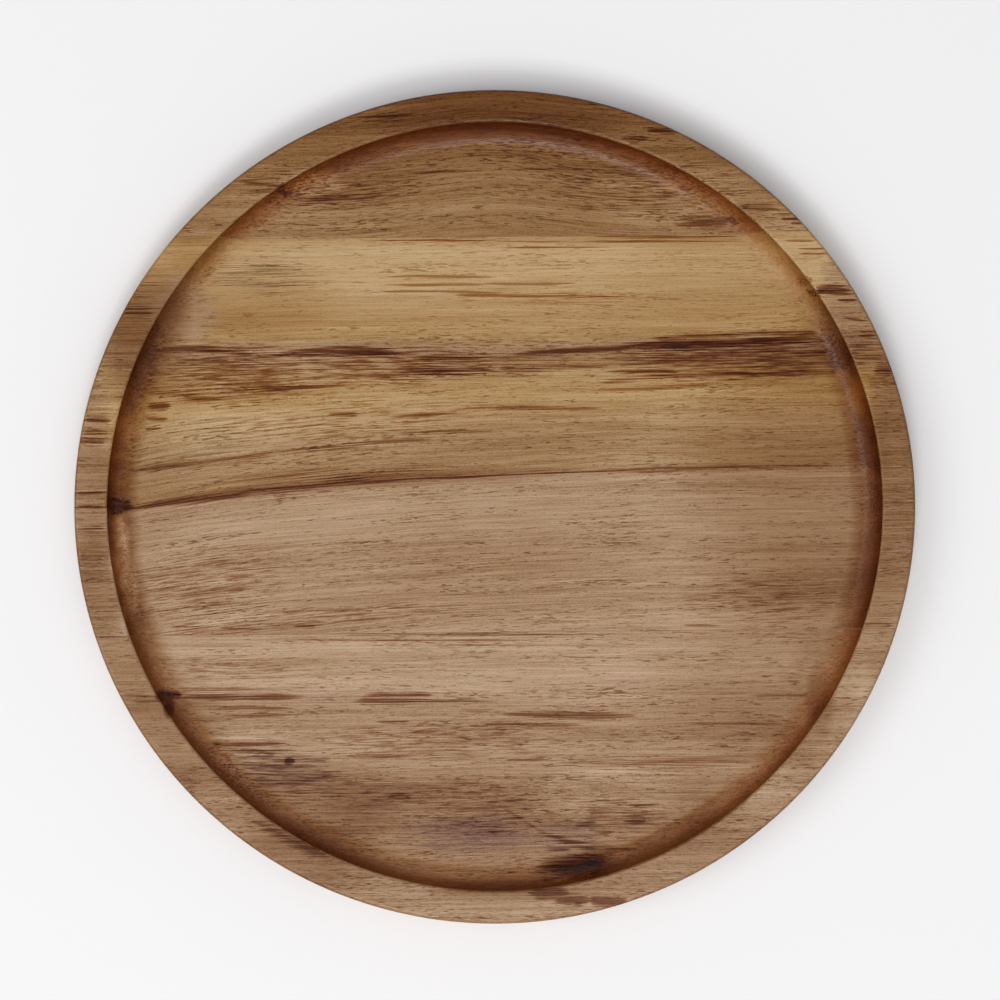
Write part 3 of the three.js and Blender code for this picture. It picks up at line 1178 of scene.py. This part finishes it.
class LowArch:
    """Grain that rises in a low arch about the middle of the tray."""

    def value(self, along, across):
        return ARCH_RISE * math.exp(-((along / ARCH_REACH) ** 2))

    def nodes(self, sheet, position):
        along, across, depth = sheet.parts(position)
        share = sheet.math("DIVIDE", along, ARCH_REACH)
        hump = sheet.math("EXPONENT", sheet.math("MULTIPLY", sheet.math("MULTIPLY", share, share), -1.0))
        return sheet.math("MULTIPLY", hump, ARCH_RISE)


print(f"the arch rises {LowArch().value(0.0, 0.0):.1f} mm")

# %% Tones and marks of the rear board
rear_low, rear_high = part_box("rear_board")
rear_wood = BoardWood("rear_wood", seed=2.0, wander=2.0, bend=LowArch())
rear_wood.bands(rear_low.y * MM - BAND_MARGIN, rear_high.y * MM, [
    (98, deep(RUSSET, 1.33)),
    (108, deep(RUSSET, 1.33)),
    (118, deep(RUSSET, 1.5)),
    (128, deep(RUSSET, 1.65)),
    (140, deep(RUSSET, 1.75)),
    (150, deep(RUSSET, 1.8)),
])
rear_wood.pigment(RIM_LEVEL, {
    "dark top of the rim": Zone((495, 108), (160, 36), 0.3),
    "right rim": Zone((790, 222), (50, 40), -0.1),
})
rear_wood.pigment(FLOOR_HEIGHT, {
    "pale left end": Zone((280, 190), (90, 40), -0.08),
    "pale right end": Zone((670, 195), (110, 45), -0.18),
})
rear_wood.streaks(RUST, FLOOR_HEIGHT, {
    "left streak": Mark((278, 198), (395, 193), 7, 0.5),
    "second streak": Mark((350, 195), (415, 195), 4, 0.5),
    "arch line": Mark((405, 174), (500, 172), 3, 0.6),
    "arch line, right": Mark((490, 172), (625, 167), 3, 0.55),
})
rear_wood.swarms(FAINT, FLOOR_HEIGHT, {
    "mottles at left": Zone((330, 190), (120, 30), 0.35),
    "mottles at right": Zone((640, 190), (130, 40), 0.35),
    "shade by the joint": Zone((708, 222), (44, 10), 0.8),
})
rear_wood.streaks(RUST, RIM_LEVEL, {
    "streak on the left rim": Mark((236, 182), (296, 186), 7, 0.9),
    "streak on the right rim": Mark((736, 208), (780, 209), 11, 0.7),
    "short streak": Mark((645, 130), (680, 132), 6, 0.8),
    "lower short streak": Mark((620, 138), (652, 138), 5, 0.8),
    "dark line on the rim": Mark((350, 117), (428, 114), 4, 0.8),
    "dark line next to it": Mark((362, 121), (410, 119), 3, 0.7),
    "lines above the joint": Mark((774, 214), (794, 214), 3, 0.8),
    "next line above the joint": Mark((780, 219), (803, 219), 3, 0.8),
    "last line above the joint": Mark((790, 223), (803, 223), 3, 0.7),
    "red spots at the left edge": Mark((180, 228), (195, 227), 7, 0.6),
})
rear_wood.streaks(PLUM, COVE_LEVEL, {
    "spot in the left cove": Mark((276, 192), (294, 193), 8, 0.7),
})
# Painted sheen: less pigment in the cove at upper left, where a highlight falls.
rear_wood.pigment(COVE_LEVEL, {
    "painted sheen in the cove at upper left": Zone((312, 184), (40, 16), -0.3),
})

# %% Oil the rear board
rear_material = rear_wood.finish(
    line_strength=1.15, pore_amount=0.7, side_soak_and_shade=0.5, end_soak=0.5, glow=0.85
)
rear_board.data.materials.append(rear_material)

# %% [markdown]
# ## Front board
# The board at the front is tan with a purple cast and small knots along its left end. Its grain is straight
# enough to need no bend. Its tones and soft zones are laid first, then its marks from faint to dark, and
# the oil last.

# %% Tones and soft zones of the front board
front_low, front_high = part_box("front_board")
front_wood = BoardWood("front_wood", seed=3.0, wander=2.2)
front_wood.bands(front_low.y * MM, front_high.y * MM + BAND_MARGIN, [
    (-46, TAN),
    (-52, deep(TAN, 0.9)),
    (-66, deep(TAN, 0.92)),
    (-72, deep(TAN, 1.1)),
    (-80, deep(TAN, 1.07)),
    (-92, deep(TAN, 1.08)),
    (-104, deep(TAN, 1.26)),
    (-118, deep(TAN, 1.31)),
    (-132, deep(TAN, 1.2)),
    (-144, deep(TAN, 1.06)),
])
front_wood.pigment(FLOOR_HEIGHT, {
    "darker right end": Zone((820, 690), (210, 110), 0.24),
    "dark lower left": Zone((310, 805), (120, 54), 0.26),
    "pale lower right": Zone((610, 790), (90, 36), -0.22),
    "yellow strip": Zone((245, 735), (60, 9), -0.15),
    "knot dot": Zone((289, 761), (6, 5), 0.6),
})
front_wood.pigment(RIM_LEVEL, {
    "left rim": Zone((120, 660), (60, 70), 0.3),
    "lower left rim": Zone((170, 740), (70, 80), 0.25),
    "dark lower rim": Zone((290, 862), (110, 50), 0.3),
    "pale right rim": Zone((842, 715), (50, 80), -0.42),
    "pale lower right rim": Zone((770, 800), (70, 50), -0.16),
})
front_wood.pigment(COVE_LEVEL, {
    # Painted shade: the lip at the bottom faces away from the lights.
    "painted shade on the lip at the bottom": Zone((510, 890), (110, 12), 0.35),
    "pale cove at lower left": Zone((275, 826), (90, 60), -0.2),
    "dark cove at lower right": Zone((820, 700), (16, 46), 0.3),
    "dark cove at right": Zone((826, 690), (40, 90), 0.25),
    "mark in the cove": Zone((578, 866), (44, 14), 1.0),
    "mark in the cove, upper end": Zone((600, 852), (22, 9), 0.5),
    "lower knot": Zone((165, 696), (10, 8), 1.0),
    "lower knot, tail": Zone((170, 708), (6, 12), 1.1),
    "lower knot, point": Zone((174, 697), (9, 4), 0.8),
})
front_wood.tint(PURPLE, FLOOR_HEIGHT, {
    "purple heart": Zone((475, 834), (95, 28), 0.75),
    "purple slant": Zone((560, 836), (60, 26), 0.55),
    "purple by the knot": Zone((275, 770), (76, 27), 0.55),
})

# %% Faint marks of the front board
front_wood.streaks(FAINT, FLOOR_HEIGHT, {
    "line at the joint": Mark((300, 635), (625, 634), 3, 0.9),
    "second line": Mark((250, 640), (565, 640), 3, 0.8),
    "third line": Mark((330, 645), (700, 645), 3, 0.7),
    "right line": Mark((682, 724), (790, 724), 5, 0.8),
    "upper right line": Mark((742, 695), (816, 695), 4, 0.9),
    "broad band": Mark((556, 763), (764, 762), 14, 0.6),
    "grey line": Mark((196, 708), (300, 709), 6, 0.8),
    "next grey line": Mark((214, 715), (300, 715), 4, 0.9),
    "pink line": Mark((210, 749), (300, 750), 6, 0.6),
    "thin line at right": Mark((603, 849), (641, 849), 3, 0.9),
})
front_wood.swarms(FAINT, FLOOR_HEIGHT, {
    "dashes under the joint": Zone((230, 668), (80, 18), 0.38),
    "dashes at the left end": Zone((250, 750), (70, 14), 0.45),
    "mottles": Zone((300, 785), (80, 28), 0.42),
    "dashes in the middle": Zone((430, 742), (170, 26), 0.38),
    "dashes under them": Zone((420, 790), (120, 24), 0.36),
    "dashes at right": Zone((620, 815), (60, 24), 0.45),
    "dashes in the purple": Zone((480, 815), (70, 26), 0.4),
    "dashes by the knot": Zone((272, 762), (74, 20), 0.45),
})

# %% Dark marks of the front board
front_wood.streaks(RUST, FLOOR_HEIGHT, {
    "upper line from the knot": Mark((160, 689), (300, 690), 4, 0.7),
    "middle line": Mark((498, 714), (644, 716), 8, 1.1),
    "lower middle line": Mark((476, 724), (590, 725), 6, 0.7),
    "brown line": Mark((203, 744), (290, 743), 4, 0.8),
    "row of dashes": Mark((336, 756), (432, 756), 4, 0.7),
    "dash in the middle": Mark((500, 760), (550, 760), 4, 0.8),
    "diagonal, upper end": Mark((500, 806), (545, 834), 7, 0.6),
    "diagonal": Mark((528, 826), (606, 853), 9, 0.75, -2),
    "red in the cove": Mark((556, 862), (612, 858), 18, 0.6),
    "dash at right": Mark((572, 824), (598, 823), 5, 0.9),
    "next dash at right": Mark((621, 822), (648, 822), 4, 0.9),
    "high dash at right": Mark((627, 805), (660, 806), 4, 0.8),
    "low dash at right": Mark((588, 832), (617, 832), 4, 0.8),
    "dashes in the purple": Mark((500, 801), (527, 801), 6, 0.7),
    "dash in the purple": Mark((543, 850), (572, 850), 4, 0.9),
})
front_wood.streaks(PLUM, FLOOR_HEIGHT, {
    "line from the knot": Mark((168, 697), (310, 697), 8, 1.0),
    "dark patch": Mark((348, 701), (440, 700), 10, 0.75),
    "dark patch, upper line": Mark((362, 695), (434, 694), 5, 0.85),
    "dash on the patch": Mark((394, 695), (434, 695), 4, 0.8),
    "line past the patch": Mark((396, 701), (500, 701), 4, 0.7),
    "short line": Mark((456, 710), (500, 710), 4, 0.7),
    "dash": Mark((372, 722), (412, 722), 3, 0.8),
    "knot dot": Mark((283, 761), (296, 761), 7, 1.2),
})
front_wood.streaks(BARK, COVE_LEVEL, {
    "lower knot, upper edge": Mark((154, 692), (184, 695), 6, 0.8),
    "mark in the cove, lines": Mark((530, 874), (614, 862), 22, 0.5),
})
front_wood.streaks(RUST, RIM_LEVEL, {
    "line to the knot": Mark((118, 696), (162, 696), 3, 0.8),
    "line under it": Mark((132, 702), (162, 702), 3, 0.7),
    "line at the left joint": Mark((94, 637), (122, 636.5), 3, 0.9),
    "rim mark, left end": Mark((528, 894), (572, 893), 12, 1.3),
    "rim mark, middle": Mark((552, 900), (592, 900), 11, 1.3),
    "rim mark, right end": Mark((586, 900), (632, 903), 12, 1.3),
    "mottle at lower left": Mark((158, 746), (186, 747), 5, 0.6),
    "red shade by the lip": Mark((246, 818), (336, 862), 14, 0.8),
})

# %% Oil the front board, with painted shade at the foot of its cove
# Painted shade: the foot of the front cove lies in the shade of the front rim.
shade_at_foot = front_wood.zone("painted shade at the foot", Zone((620, 850), (240, 110), 0.45), COVE_LEVEL)
front_material = front_wood.finish(
    line_strength=1.25, pore_amount=0.65, side_soak_and_shade=0.45, end_soak=0.7, glow=1.0, foot_shade=shade_at_foot
)
front_board.data.materials.append(front_material)

# %% [markdown]
# ## Glue
# The glue cures to thin films, sanded flush with the wood. Only their edges show, as hair-thin brown lines
# that the oil has made a little uneven.

# %% The glue
GLUE_DARK = looks(96, 66, 42)
GLUE_PALE = looks(142, 108, 74)
MOTTLE_SIZE = (14, 2, 3)
MOTTLE_NOISE = (0.35, 0.65)
GLUE_ROUGHNESS = (0.4, 0.55)
GLUE_SPECULAR = 0.3


def cured_glue():
    """A brown film, mottled along its length."""
    material, sheet, position = new_material("cured_glue")
    mottle = sheet.ramp(sheet.spread_noise(position, MOTTLE_SIZE, 3.0), *MOTTLE_NOISE)
    colour = sheet.mix(mottle, GLUE_DARK, GLUE_PALE)
    shader = sheet.node(
        "ShaderNodeBsdfPrincipled",
        {
            "Base Color": colour,
            "Roughness": sheet.ramp(mottle, 0.0, 1.0, *GLUE_ROUGHNESS),
            "Specular IOR Level": GLUE_SPECULAR,
        },
    )
    sheet.node("ShaderNodeOutputMaterial", {"Surface": shader.outputs[0]})
    return material


glue = cured_glue()
rear_glue.data.materials.append(glue)
front_glue.data.materials.append(glue)
print("glue on", rear_glue.name, "and", front_glue.name)

# %% [markdown]
# ## Floor, lights and surroundings
# The tray lies on a white table. The photograph's shadows fall towards the top and the right, so a compact
# light stands at the bottom of the picture and a softer one at the left. A broad light overhead fills the
# rest, and reflections don't show it. A fourth, smaller light gives the gleam along the foot of the cove.
# The shares of the lights and of the pale surroundings add up to about one, so that a colour renders about
# as it is written. Straight up, the surroundings show a dark ceiling, because a bright one would lie as
# haze on the oiled wood.

# %% The floor
FLOOR_HALF = 2.0
FLOOR_TONE = (0.895, 0.89, 0.90, 1.0)
FLOOR_ROUGHNESS = 0.9


def pale_floor():
    """A plain pale floor under the tray."""
    mesh = bpy.data.meshes.new("floor")
    corners = [(-FLOOR_HALF, -FLOOR_HALF, 0), (FLOOR_HALF, -FLOOR_HALF, 0)]
    corners += [(FLOOR_HALF, FLOOR_HALF, 0), (-FLOOR_HALF, FLOOR_HALF, 0)]
    mesh.from_pydata(corners, [], [(0, 1, 2, 3)])
    floor = bpy.data.objects.new("floor", mesh)
    scene.collection.objects.link(floor)
    material = bpy.data.materials.new("pale_floor")
    material.use_nodes = True
    shader = material.node_tree.nodes["Principled BSDF"]
    shader.inputs["Base Color"].default_value = FLOOR_TONE
    shader.inputs["Roughness"].default_value = FLOOR_ROUGHNESS
    shader.inputs["Specular IOR Level"].default_value = 0.0
    mesh.materials.append(material)
    print(f"{floor.name}: {2 * FLOOR_HALF:.1f} m square")


pale_floor()

# %% The lights
LIGHT_DISTANCE = 4.0


def studio_light(name, from_angle, lean, size, share, gleams=True):
    """A square area light aimed at the tray, from a direction on the floor and a lean from the vertical.

    Alone, a light with a share of 1 would show a level colour as it is written.
    """
    lamp = bpy.data.lights.new(name, "AREA")
    lamp.size = size
    lamp.energy = share * math.pi**2 * LIGHT_DISTANCE**2 / math.cos(math.radians(lean))
    light = bpy.data.objects.new(name, lamp)
    scene.collection.objects.link(light)
    level = math.sin(math.radians(lean))
    toward = Vector(
        (
            level * math.cos(math.radians(from_angle)),
            level * math.sin(math.radians(from_angle)),
            math.cos(math.radians(lean)),
        )
    )
    light.visible_glossy = gleams
    light.location = toward * LIGHT_DISTANCE
    light.rotation_euler = toward.to_track_quat("Z", "Y").to_euler()
    print(f"{name}: {lamp.energy:.1f} W")


studio_light("near_light", from_angle=-100, lean=33.5, size=1.1, share=0.22)
studio_light("left_light", from_angle=193, lean=39, size=2.0, share=0.17)
studio_light("overhead_light", from_angle=-82, lean=13, size=3.6, share=0.23, gleams=False)
studio_light("sheen_light", from_angle=-90, lean=19, size=1.5, share=0.12)

# %% The surroundings
WORLD_LIGHT = 0.35
WORLD_SEEN = (0.88, 0.88, 0.90, 1.0)
CEILING_SEEN = (0.05, 0.05, 0.05, 1.0)
CEILING_EDGE = (0.72, 0.92)
surroundings = bpy.data.worlds.new("surroundings")
surroundings.use_nodes = True
surroundings.node_tree.nodes.clear()
sheet = NodeSheet(surroundings.node_tree)
rays = sheet.node("ShaderNodeLightPath").outputs
seen_rays = ("Is Camera Ray", "Is Glossy Ray", "Is Transmission Ray")
seen = sheet.chain("MAXIMUM", [rays[name] for name in seen_rays])
lit = sheet.node("ShaderNodeBackground", {"Color": (1, 1, 1, 1), "Strength": WORLD_LIGHT}).outputs[0]
height = sheet.parts(sheet.node("ShaderNodeTexCoord").outputs["Generated"])[2]
walls_and_ceiling = sheet.mix(sheet.ramp(height, *CEILING_EDGE), WORLD_SEEN, CEILING_SEEN)
shown = sheet.node("ShaderNodeBackground", {"Color": walls_and_ceiling, "Strength": 1.0}).outputs[0]
either = sheet.node("ShaderNodeMixShader", {0: seen, 1: lit, 2: shown}).outputs[0]
sheet.node("ShaderNodeOutputWorld", {"Surface": either})
scene.world = surroundings
print("surroundings light the tray at", WORLD_LIGHT)
